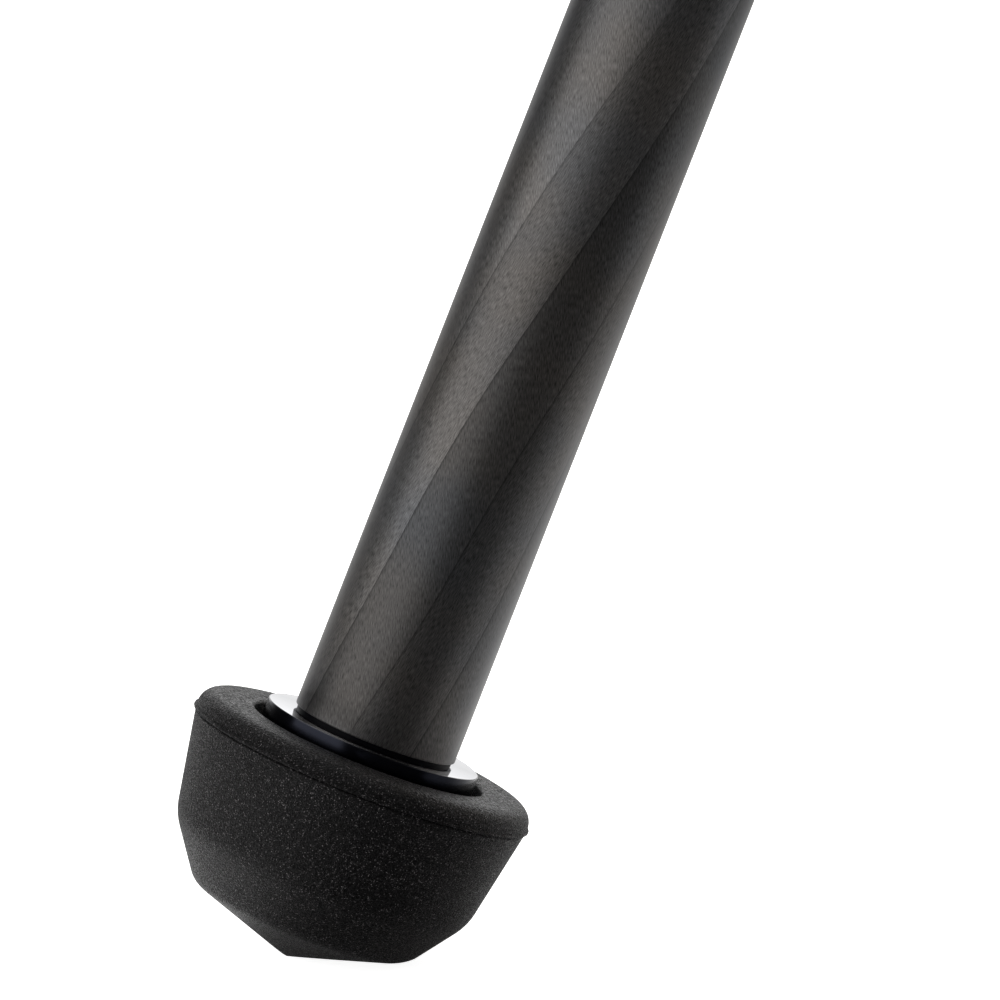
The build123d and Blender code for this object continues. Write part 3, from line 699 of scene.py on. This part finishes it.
# %% Turned black and grip rubber
turned_black = new_finish("turned_black", Specular_IOR_Level=0.6)
place = own_place(turned_black)
parts = split(turned_black, place)
inputs = {"W": parts["Z"], "Scale": 6000, "Detail": 3.0}
turning = add(turned_black, "TexNoise", inputs, noise_dimensions="1D").outputs[0]
blotch = noise(turned_black, place, 120, 3.0)
wire(
    turned_black,
    Base_Color=blend(turned_black, blotch, (0.010, 0.010, 0.011), (0.018, 0.018, 0.019)),
    Roughness=remap(turned_black, blotch, 0.3, 0.7, 0.26, 0.36),
    Normal=relief(turned_black, turning, 0.02 * mm, 0.4),
)
tell(turned_black)

grip_rubber = new_finish("grip_rubber", Roughness=0.55, Specular_IOR_Level=0.35)
place = own_place(grip_rubber)
grain = noise(grip_rubber, place, 2200, 2.0)
lightness = remap(grip_rubber, grain, 0.35, 0.7, 0.0, 1.0)
wire(
    grip_rubber,
    Base_Color=blend(grip_rubber, lightness, (0.004, 0.004, 0.004), (0.020, 0.020, 0.021)),
    Normal=relief(grip_rubber, grain, 0.15 * mm, 0.7),
)
tell(grip_rubber)

# %% Grooves
groove_count, groove_r = 30, 1.1 * mm
print("a grip has", groove_count, "grooves")


def ribbed(outer):
    """A shape with round-bottomed grooves along the outer face."""
    pitch = 2 * pi / groove_count

    def shape(angle, r, z):
        if r < outer - groove_r:
            return r
        off_centre = abs((angle + pitch / 2) % pitch - pitch / 2) * outer
        if off_centre >= groove_r:
            return r
        return min(r, outer + groove_r / 2 - sqrt(groove_r ** 2 - off_centre ** 2))

    return shape


# %% Lock meshes
leg_thread, column_thread, lip_height = 2.55 * mm, 3.15 * mm, 5.0 * mm
nut_taper, grip_edge = 1.6 * mm, 0.7 * mm


def dress_lock(name, place, body, thread_r, upside_down=False):
    """The nut and the grip of one lock, turned again round the frame's axis."""
    low, high, lip_r, outer = span(f"{name}_collar", place)
    grip_low, grip_high, grip_bore, grip_outer = span(f"{name}_grip", place)
    seat = grip_bore - bond
    if upside_down:
        corners = [
            (thread_r, low), (outer, low, 0.4 * mm), (outer, grip_low - bond), (seat, grip_low - bond),
            (seat, grip_high + bond), (outer, grip_high + bond), (outer - nut_taper, high, 0.8 * mm),
            (lip_r, high, 0.3 * mm), (lip_r, high - lip_height), (thread_r, high - lip_height),
        ]
    else:
        corners = [
            (thread_r, high), (outer, high, 0.4 * mm), (outer, grip_high + bond), (seat, grip_high + bond),
            (seat, grip_low - bond), (outer, grip_low - bond), (outer - nut_taper, low, 0.8 * mm),
            (lip_r, low, 0.3 * mm), (lip_r, low + lip_height), (thread_r, low + lip_height),
        ]
    nut = lathe(f"{name}_turned_nut", rounded(corners), sides=128, closed=True)
    settle(nut, place, body, "machined_black", turned_black, f"{name}_collar")
    outline = rounded([
        (grip_bore, grip_low), (grip_outer, grip_low, grip_edge),
        (grip_outer, grip_high, grip_edge), (grip_bore, grip_high),
    ], steps=4)
    grip = lathe(f"{name}_ribbed_grip", outline, sides=360, closed=True, shape=ribbed(grip_outer))
    settle(grip, place, body, "grip_rubber", grip_rubber, f"{name}_grip")


for number in legs:
    for lock, tube in (("upper", "upper"), ("lower", "middle")):
        outer_tube_r = span(f"leg_{number}_{tube}_tube", leg_frames[number])[3]
        name = f"leg_{number}_{lock}_lock"
        dress_lock(name, leg_frames[number], name, outer_tube_r + leg_thread)
column_r = span("column_tube", upright)[3]
dress_lock("column_lock", upright, "column_lock", column_r + column_thread, upside_down=True)
print("locks dressed:", 2 * len(legs) + 1)

# %% [markdown]
# The mounting plate
#
# The plate's rim is cut with small teeth for the hand. A rubber disc with rings is let into its top,
# and the stud has a real 3/8 inch thread of 16 turns to the inch. The thread is only a shape function
# that lowers the radius by the distance from the helix, so one lathe call makes it.

# %% Plate finishes
pad_rubber = new_finish("pad_rubber", Roughness=0.7, Specular_IOR_Level=0.3)
place = object_place(pad_rubber)
parts = split(pad_rubber, place)
ring_wave = calc(pad_rubber, "PINGPONG", from_axis(pad_rubber, parts), 0.9 * mm)
ridge_and_painted_shade = remap(pad_rubber, ring_wave, 0.25 * mm, 0.5 * mm, 0.0, 1.0, smooth=True)
grain = noise(pad_rubber, place, 1800, 2.0)
# The colour follows the rings: the grooves are painted shade, near black, and the ridge tops are lighter.
lightness = calc(pad_rubber, "MULTIPLY", ridge_and_painted_shade, grain)
wire(
    pad_rubber,
    Base_Color=blend(pad_rubber, lightness, (0.006, 0.006, 0.006), (0.040, 0.039, 0.038)),
    Normal=relief(pad_rubber, calc(pad_rubber, "MULTIPLY_ADD", grain, 0.15, ridge_and_painted_shade), 0.25 * mm),
)
tell(pad_rubber)

steel = new_finish("turned_steel", Metallic=1.0)
place = own_place(steel)
blotch = noise(steel, place, 400, 4.0)
wire(
    steel,
    Base_Color=blend(steel, blotch, (0.50, 0.49, 0.47), (0.66, 0.65, 0.63)),
    Roughness=remap(steel, blotch, 0.3, 0.7, 0.20, 0.34),
)
tell(steel)

# %% Plate mesh
plate_low, plate_high, plate_bore, plate_r = span("mounting_plate", upright)
pad_low, pad_high, _, pad_r = span("plate_pad", upright)
stud_low, stud_high, _, head_stud_r = span("head_stud", upright)
boss_r = span("column_tube", upright)[2] - bond
teeth, tooth_depth = 72, 0.5 * mm
plate_thickness, plate_taper = 5.5 * mm, 4.0 * mm


def toothed(angle, r, z):
    """Small rounded teeth on the plate's rim."""
    if r < plate_r - 0.9 * mm:
        return r
    return r - tooth_depth * (0.5 - 0.5 * cos(teeth * angle))


plate_under = plate_high - plate_thickness
column_top = span("column_tube", upright)[1]
corners = [
    (plate_bore, pad_low), (pad_r + bond, pad_low), (pad_r + bond, plate_high),
    (plate_r, plate_high, 0.6 * mm), (plate_r, plate_under, 0.6 * mm), (plate_r - plate_taper, column_top),
    (boss_r, column_top), (boss_r, plate_low), (plate_bore, plate_low),
]
plate = lathe("toothed_plate", rounded(corners), sides=720, closed=True, shape=toothed)
settle(plate, upright, "column", "plate_alloy", turned_black, "mounting_plate")
print("the plate is", round(2 * plate_r / mm, 1), "mm across, with", teeth, "teeth")

# %% Stud mesh
pitch = inch / 16
thread_depth = 0.61 * pitch
flank, crest = 2.3, 0.1


def threaded(angle, r, z):
    """A helical thread above the pad, inside the stud's full radius."""
    if z < pad_high or r < 0.5 * head_stud_r:
        return r
    phase = (z / pitch - angle / (2 * pi)) % 1
    fall = min(max(flank * abs(phase - 0.5) - crest, 0), 1)
    return min(r, head_stud_r - thread_depth * fall)


levels = 90
stud_tip = 0.8 * mm
relief_r = head_stud_r - 0.7 * mm
outline = [
    (0, stud_low), (head_stud_r, stud_low), (head_stud_r, pad_low),
    (relief_r, pad_low), (relief_r, pad_high),
]
for step in range(levels + 1):
    z = pad_high + (stud_high - pad_high) * step / levels
    outline.append((min(head_stud_r, head_stud_r - stud_tip + stud_high - z), z))
outline.append((0, stud_high))
stud = lathe("threaded_stud", outline, sides=96, shape=threaded)
settle(stud, upright, "column", "stud_steel", steel, "head_stud")
print("the stud's thread rises", round(pitch / mm, 4), "mm a turn")

# %% [markdown]
# The bubble level
#
# A round level is a metal cup with a coloured fluid under a clear lens. The bubble and the ring that
# it should stay in are what make it readable, so they are small shapes of their own between the
# coloured disc and the lens. A clear fluid with a real bubble in it would bend the light twice more,
# and it would hardly look different at this size.

# %% Level sizes
points = [vertex.co for vertex in frame["nodes"]["bubble_level"].data.vertices]
middle_x = (min(point.x for point in points) + max(point.x for point in points)) / 2
middle_y = (min(point.y for point in points) + max(point.y for point in points)) / 2
level_place = Matrix.Translation((middle_x, middle_y, 0))
cup_low, cup_high, _, cup_r = span("bubble_level", level_place)
wall = 1.3 * mm
well_r = cup_r - wall
lens_floor = cup_high - 1.6 * mm
fluid_top, bubble_floor = lens_floor - 0.9 * mm, lens_floor - 0.8 * mm
bubble_r, bubble_height, bubble_steps = 1.7 * mm, 0.6 * mm, 8
bubble_shift = Matrix.Translation((0.5 * mm, -0.3 * mm, 0))
ring_inner, ring_outer, ring_low = 2.5 * mm, 2.75 * mm, lens_floor - 0.15 * mm
print("the level is", round(2 * cup_r / mm, 1), "mm across")

# %% Level finishes
fluid_green = new_finish("level_fluid", Roughness=0.15)
place = own_place(fluid_green)
parts = split(fluid_green, place)
# The fluid is painted darker towards the cup's wall: painted shade under the rim.
painted_shade_outwards = remap(fluid_green, from_axis(fluid_green, parts), 0.3 * well_r, well_r, 0.0, 1.0)
wire(fluid_green, Base_Color=blend(fluid_green, painted_shade_outwards, (0.62, 0.80, 0.10), (0.30, 0.50, 0.03)))
bubble_light = new_finish("level_bubble", Roughness=0.08)
glint = noise(bubble_light, own_place(bubble_light), 700)
wire(bubble_light, Base_Color=blend(bubble_light, glint, (0.80, 0.92, 0.45), (0.92, 0.98, 0.70)))
ring_black = new_finish("level_ring", Roughness=0.5)
speck = noise(ring_black, own_place(ring_black), 2000)
wire(ring_black, Base_Color=blend(ring_black, speck, (0.010, 0.010, 0.010), (0.020, 0.020, 0.020)))
clear_lens = new_finish("level_lens", Base_Color=(1, 1, 1, 1), Transmission_Weight=1.0, IOR=1.49)
haze = noise(clear_lens, own_place(clear_lens), 500)
wire(clear_lens, Roughness=remap(clear_lens, haze, 0.3, 0.7, 0.0, 0.04))
for finish in (fluid_green, bubble_light, ring_black, clear_lens):
    tell(finish)

# %% Level meshes
cup = lathe("level_metal_cup", rounded([
    (0, cup_low), (cup_r, cup_low, 0.3 * mm), (cup_r, cup_high, 0.4 * mm), (well_r, cup_high, 0.2 * mm),
    (well_r, cup_low + wall), (0, cup_low + wall),
]), sides=96)
settle(cup, level_place, "base", "level_cup", turned_black, "bubble_level")
fluid = lathe("level_fluid_disc", [
    (0, cup_low + wall + bond), (well_r - bond, cup_low + wall + bond),
    (well_r - bond, fluid_top), (0, fluid_top),
], sides=64)
settle(fluid, level_place, "base", "level_cup", fluid_green)
outline = [(0, bubble_floor + bubble_height)]
for step in range(1, bubble_steps + 1):
    turn = step * pi / (2 * bubble_steps)
    outline.append((bubble_r * sin(turn), bubble_floor + bubble_height * cos(turn)))
outline.append((0, bubble_floor))
bubble = lathe("level_bubble_dome", outline, sides=48)
bubble.data.transform(bubble_shift)
settle(bubble, level_place, "base", "level_cup", bubble_light)
ring_high = lens_floor - bond
outline = [(ring_inner, ring_low), (ring_outer, ring_low), (ring_outer, ring_high), (ring_inner, ring_high)]
ring = lathe("level_ring_mark", outline, sides=64, closed=True)
settle(ring, level_place, "base", "level_cup", ring_black)
lens = lathe("level_clear_lens", rounded([
    (0, lens_floor), (well_r - bond, lens_floor),
    (well_r - bond, cup_high - 0.6 * mm, 0.2 * mm), (0, cup_high - 0.3 * mm),
]), sides=64)
settle(lens, level_place, "base", "level_cup", clear_lens)
print("the bubble is", round(2 * bubble_r / mm, 1), "mm across")

# %% [markdown]
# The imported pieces
#
# The castings, bolts, stops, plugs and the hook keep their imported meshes, which are fine enough for
# their size, and only get a finish. Each kind of surface has a pair of colours, a range of roughness
# and a grain. The castings are painted with a fine hammered texture, and the bright pieces show a
# faint blotchy wear.


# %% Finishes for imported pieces
def packed_finish(name, dark, light, rough, metallic, grain_scale, grain_depth, level=0.5):
    """A finish whose colour, roughness and relief come from noise in the object's own coordinates."""
    finish = new_finish(name, Metallic=metallic, Specular_IOR_Level=level)
    place = object_place(finish)
    blotch = noise(finish, place, 90, 4.0)
    grain = noise(finish, place, grain_scale, 2.0)
    mixed = calc(finish, "ADD", calc(finish, "MULTIPLY", blotch, 0.5), calc(finish, "MULTIPLY", grain, 0.5))
    wire(
        finish,
        Base_Color=blend(finish, remap(finish, mixed, 0.35, 0.65, 0.0, 1.0), dark, light),
        Roughness=remap(finish, mixed, 0.35, 0.65, rough - 0.05, rough + 0.07),
        Normal=relief(finish, grain, grain_depth, 0.6),
    )
    tell(finish)
    return finish


# Darkest and lightest colour, roughness, metallic, grain scale and grain depth. The plugs are seen deep
# in the gap under the tube, so their near-black colours are painted shade, and they also have a low specular
# level.
packed_looks = {
    "cast_body": ((0.010, 0.010, 0.011), (0.022, 0.022, 0.023), 0.42, 0.0, 1500, 0.12 * mm),
    "machined_black": ((0.010, 0.010, 0.011), (0.018, 0.018, 0.019), 0.30, 0.0, 2500, 0.02 * mm),
    "stop_alloy": ((0.42, 0.42, 0.44), (0.52, 0.52, 0.54), 0.34, 1.0, 2500, 0.02 * mm),
    "shim_plastic": ((0.030, 0.030, 0.030), (0.045, 0.045, 0.045), 0.5, 0.0, 900, 0.03 * mm),
    # The plugs' near-black colours are painted shade for the gap under the tube.
    "plug_alloy": ((0.001, 0.001, 0.002), (0.003, 0.003, 0.004), 0.40, 0.0, 2500, 0.02 * mm, 0.03),
    "bolt_steel": ((0.34, 0.34, 0.35), (0.46, 0.46, 0.47), 0.26, 1.0, 2500, 0.01 * mm),
    "hook_steel": ((0.52, 0.52, 0.53), (0.62, 0.62, 0.63), 0.20, 1.0, 2500, 0.01 * mm),
}
slot_finish = {slot: packed_finish(slot, *look) for slot, look in packed_looks.items()}
slot_finish["pad_rubber"] = pad_rubber
slot_finish["carbon_tube"] = carbon_finish("carbon_column", column_r, object_place)

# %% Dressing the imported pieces
kept = 0
for part in frame["record"]["subparts"]:
    node = frame["nodes"][part["node"]]
    if not node.hide_render and part["material_slot"] in slot_finish:
        node.data.materials.clear()
        node.data.materials.append(slot_finish[part["material_slot"]])
        kept += 1
print("packed pieces with a finish:", kept)
